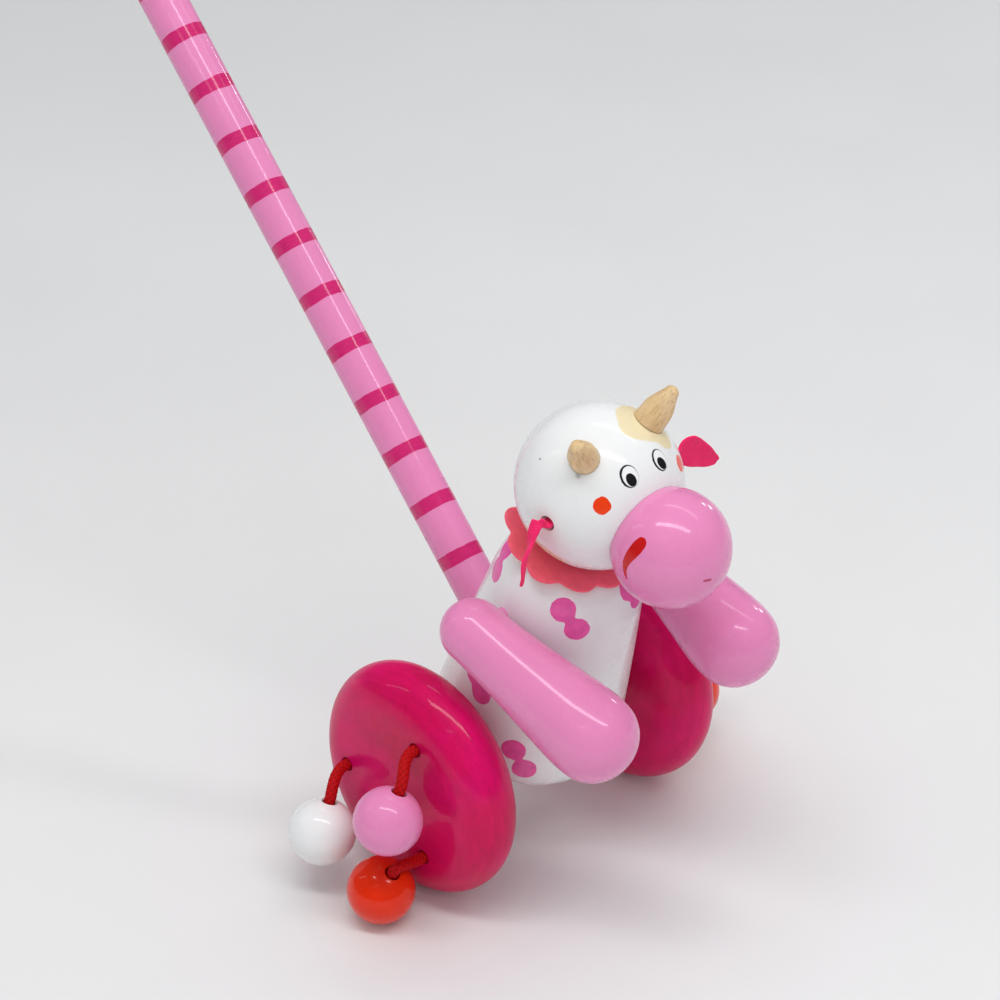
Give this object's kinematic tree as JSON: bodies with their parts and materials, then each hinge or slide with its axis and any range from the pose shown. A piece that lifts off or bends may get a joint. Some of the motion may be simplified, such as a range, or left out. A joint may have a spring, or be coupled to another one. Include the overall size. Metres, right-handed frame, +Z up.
{
  "type": "push-along animal toy",
  "caption": "Painted wooden cow on two big wheels, pushed by a striped rod, with arms that turn and beads on cords that swing as the wheels roll.",
  "frame": {"origin": "on the floor under the middle of the whole toy, from the muzzle to the rod's knob and between the beads", "axes": "+Z up, the cow faces -Y with its rod leaning back towards +Y, and the axle lies along X with the cow's left side at +X"},
  "size_m": [0.187, 0.4386, 0.4323],
  "materials": {
    "white_paint": "gloss white paint on wood, with pink painted spots and cream patches",
    "pink_paint": "gloss pink paint on wood, with hand-painted magenta bands on the rod",
    "magenta_paint": "gloss translucent magenta paint on wood",
    "orange_paint": "gloss orange paint on wood",
    "bare_wood": "unpainted sanded beech",
    "felt_pink": "hot pink wool felt",
    "felt_coral": "coral wool felt",
    "red_cord": "braided red cotton cord"
  },
  "bodies": {
    "cow": {"body": "white_paint", "neck_dowel": "bare_wood", "felt_collar": "felt_coral", "head_ball": "white_paint", "muzzle_ball": "pink_paint", "muzzle_dowel": "bare_wood", "horn_right": "bare_wood", "horn_left": "bare_wood", "ear_right": "felt_pink", "ear_left": "felt_pink", "push_rod": "pink_paint", "rod_knob": "magenta_paint"},
    "wheel_set": {"axle_dowel": "bare_wood", "washer_right": "white_paint", "washer_left": "white_paint", "wheel_right": "magenta_paint", "wheel_left": "magenta_paint"},
    "right_arm": {"arm_right": "pink_paint", "arm_pin_right": "bare_wood"},
    "left_arm": {"arm_left": "pink_paint", "arm_pin_left": "bare_wood"},
    "right_white_bead": {"bead_white_right": "white_paint", "cord_white_right": "red_cord"},
    "right_pink_bead": {"bead_pink_right": "pink_paint", "cord_pink_right": "red_cord"},
    "right_orange_bead": {"bead_orange_right": "orange_paint", "cord_orange_right": "red_cord"},
    "left_white_bead": {"bead_white_left": "white_paint", "cord_white_left": "red_cord"},
    "left_pink_bead": {"bead_pink_left": "pink_paint", "cord_pink_left": "red_cord"},
    "left_orange_bead": {"bead_orange_left": "orange_paint", "cord_orange_left": "red_cord"}
  },
  "joints": [
    {"name": "axle_turn", "type": "hinge", "parent": "cow", "child": "wheel_set", "pos_m": [0, -0.1259, 0.045], "axis": [1, 0, 0], "continuous": true},
    {"name": "right_arm_turn", "type": "hinge", "parent": "cow", "child": "right_arm", "pos_m": [-0.0424, -0.1444, 0.113], "axis": [1, 0, 0], "range_deg": [-45, 16]},
    {"name": "left_arm_turn", "type": "hinge", "parent": "cow", "child": "left_arm", "pos_m": [0.0424, -0.1444, 0.113], "axis": [1, 0, 0], "range_deg": [-35, 28]},
    {"name": "right_white_swing", "type": "hinge", "parent": "wheel_set", "child": "right_white_bead", "pos_m": [-0.0643, -0.09961, 0.04293], "axis": [1, 0, 0], "range_deg": [-25, 90]},
    {"name": "right_pink_swing", "type": "hinge", "parent": "wheel_set", "child": "right_pink_bead", "pos_m": [-0.0643, -0.13725, 0.0688], "axis": [1, 0, 0], "range_deg": [-80, 60]},
    {"name": "right_orange_swing", "type": "hinge", "parent": "wheel_set", "child": "right_orange_bead", "pos_m": [-0.0643, -0.14083, 0.02327], "axis": [1, 0, 0], "range_deg": [-90, 5]},
    {"name": "left_white_swing", "type": "hinge", "parent": "wheel_set", "child": "left_white_bead", "pos_m": [0.0643, -0.1057, 0.02805], "axis": [1, 0, 0], "range_deg": [-60, 60]},
    {"name": "left_pink_swing", "type": "hinge", "parent": "wheel_set", "child": "left_pink_bead", "pos_m": [0.0643, -0.12132, 0.07097], "axis": [1, 0, 0], "range_deg": [-80, 60]},
    {"name": "left_orange_swing", "type": "hinge", "parent": "wheel_set", "child": "left_orange_bead", "pos_m": [0.0643, -0.15068, 0.03598], "axis": [1, 0, 0], "range_deg": [-90, 8]}
  ]
}
